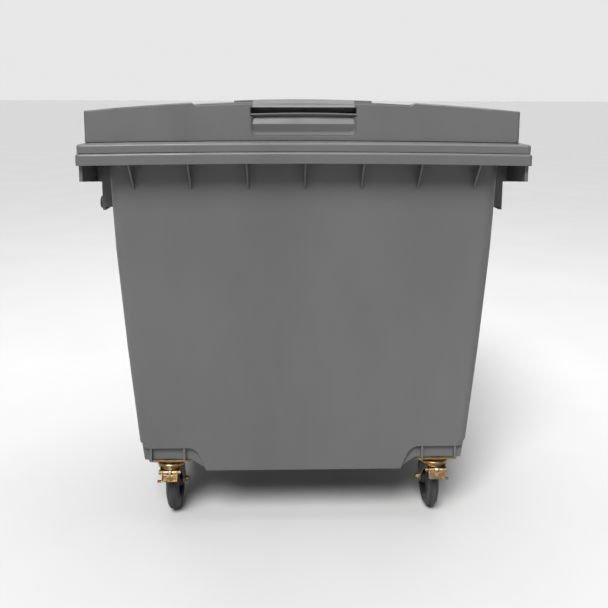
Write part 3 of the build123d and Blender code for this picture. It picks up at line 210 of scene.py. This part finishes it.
def tyre_rubber(name, base):
    """Solid rubber: dusty, worn in rings round the wheel, with a fine pebble."""
    material, nodes, links, shader = new_material(name, base, 0.7)
    dust = object_noise(nodes, links, 34.0, 6.0, 0.65)
    rings = object_noise(nodes, links, 260.0, 2.0, 0.5, (1.0, 0.03, 0.03))
    dark = tuple(c * 0.55 for c in base)
    light = tuple(c * 1.9 for c in base)
    worn = ramp(nodes, links, rings.outputs["Fac"], [(0.34, dark), (0.5, base), (0.66, light)])
    dusty = ramp(nodes, links, dust.outputs["Fac"], [
        (0.35, (0.8, 0.8, 0.8)),
        (0.75, (1.0, 1.0, 1.0)),
    ])
    mix = nodes.new("ShaderNodeMixRGB")
    mix.blend_type = "MULTIPLY"
    mix.inputs["Fac"].default_value = 1.0
    links.new(worn, mix.inputs["Color1"])
    links.new(dusty, mix.inputs["Color2"])
    links.new(mix.outputs["Color"], shader.inputs["Base Color"])
    rough = spread(nodes, links, dust.outputs["Fac"], 0.56, 0.8)
    links.new(rough, shader.inputs["Roughness"])
    pebble = object_noise(nodes, links, 800.0, 3.0)
    bump(nodes, links, shader, pebble.outputs["Fac"], RUBBER_PEBBLE, 0.6)
    return material


MATERIALS = {
    "body_plastic": moulded_plastic("body_plastic", BODY_GREY),
    "lid_plastic": moulded_plastic("lid_plastic", LID_GREY),
    "handle_plastic": moulded_plastic("handle_plastic", HANDLE_BLACK, 0.5),
    "core_plastic": moulded_plastic("core_plastic", CORE_BLACK, 0.5),
    "zinc_plate": bright_zinc("zinc_plate"),
    "bearing_steel": bright_zinc("bearing_steel"),
    "yellow_zinc": yellow_zinc("yellow_zinc"),
    "seal_rubber": tyre_rubber("seal_rubber", SEAL_BLACK),
    "tyre": tyre_rubber("tyre", TYRE_BLACK),
}


def dress_cad_nodes():
    """Gives each CAD node the finish of its record slot."""
    slots = {entry["node"]: entry["material_slot"] for entry in frame["record"]["subparts"]}
    for name, obj in frame["nodes"].items():
        obj.data.materials.clear()
        obj.data.materials.append(MATERIALS[slots[name]])


dress_cad_nodes()


# ------------------------------------------------------------------ stage, light and camera

def make_floor():
    """A plain pale floor."""
    r = FLOOR_REACH
    mesh = bpy.data.meshes.new("floor")
    mesh.from_pydata([(-r, -r, 0), (r, -r, 0), (r, r, 0), (-r, r, 0)], [], [(0, 1, 2, 3)])
    floor = bpy.data.objects.new("floor", mesh)
    bpy.context.scene.collection.objects.link(floor)
    material, nodes, links, shader = new_material("floor_paint", (FLOOR_GREY,) * 3, 0.9)
    cloud = object_noise(nodes, links, 1.5, 3.0)
    colour = ramp(nodes, links, cloud.outputs["Fac"], [
        (0.3, (FLOOR_GREY - 0.01,) * 3),
        (0.7, (FLOOR_GREY + 0.01,) * 3),
    ])
    links.new(colour, shader.inputs["Base Color"])
    floor.data.materials.append(material)


def lamp_object(name, data, place, target):
    """Puts a lamp at place, pointing at target."""
    lamp = bpy.data.objects.new(name, data)
    lamp.location = place
    lamp.rotation_euler = (Vector(target) - Vector(place)).to_track_quat("-Z", "Y").to_euler()
    bpy.context.scene.collection.objects.link(lamp)


def make_light():
    """Light from above and the front, and a pale backdrop behind the container."""
    world = bpy.data.worlds.new("studio")
    world.use_nodes = True
    nodes, links = world.node_tree.nodes, world.node_tree.links
    background = nodes["Background"]
    background.inputs["Color"].default_value = (1.0, 1.0, 1.0, 1.0)
    where = nodes.new("ShaderNodeTexCoord")
    split = nodes.new("ShaderNodeSeparateXYZ")
    links.new(where.outputs["Generated"], split.inputs["Vector"])
    glow = spread(nodes, links, split.outputs["Y"], NEAR_GLOW, FAR_GLOW, 0.3, 0.8)
    links.new(glow, background.inputs["Strength"])
    bpy.context.scene.world = world
    bpy.context.scene.view_settings.view_transform = "Standard"
    key = bpy.data.lights.new("key", "SUN")
    key.energy = KEY_POWER
    key.angle = math.radians(KEY_SOFTNESS)
    lamp_object("key", key, KEY_PLACE, (0.0, 0.0, 0.0))
    overhead = bpy.data.lights.new("overhead", "AREA")
    overhead.shape = "RECTANGLE"
    overhead.size, overhead.size_y = OVERHEAD_SIZE
    overhead.energy = OVERHEAD_POWER
    lamp_object("overhead", overhead, OVERHEAD_PLACE, OVERHEAD_TARGET)


def make_camera():
    """The viewing angle: from the front, at the lid's height, looking a little down."""
    data = bpy.data.cameras.new("camera")
    data.sensor_width = SENSOR
    data.lens = LENS
    data.shift_y = LENS_SHIFT
    camera = bpy.data.objects.new("camera", data)
    camera.location = CAMERA_PLACE
    turn = (90 - CAMERA_DOWN, CAMERA_ROLL, CAMERA_HEADING)
    camera.rotation_euler = [math.radians(angle) for angle in turn]
    bpy.context.scene.collection.objects.link(camera)
    bpy.context.scene.camera = camera


make_floor()
make_light()
make_camera()

bpy.context.view_layer.update()
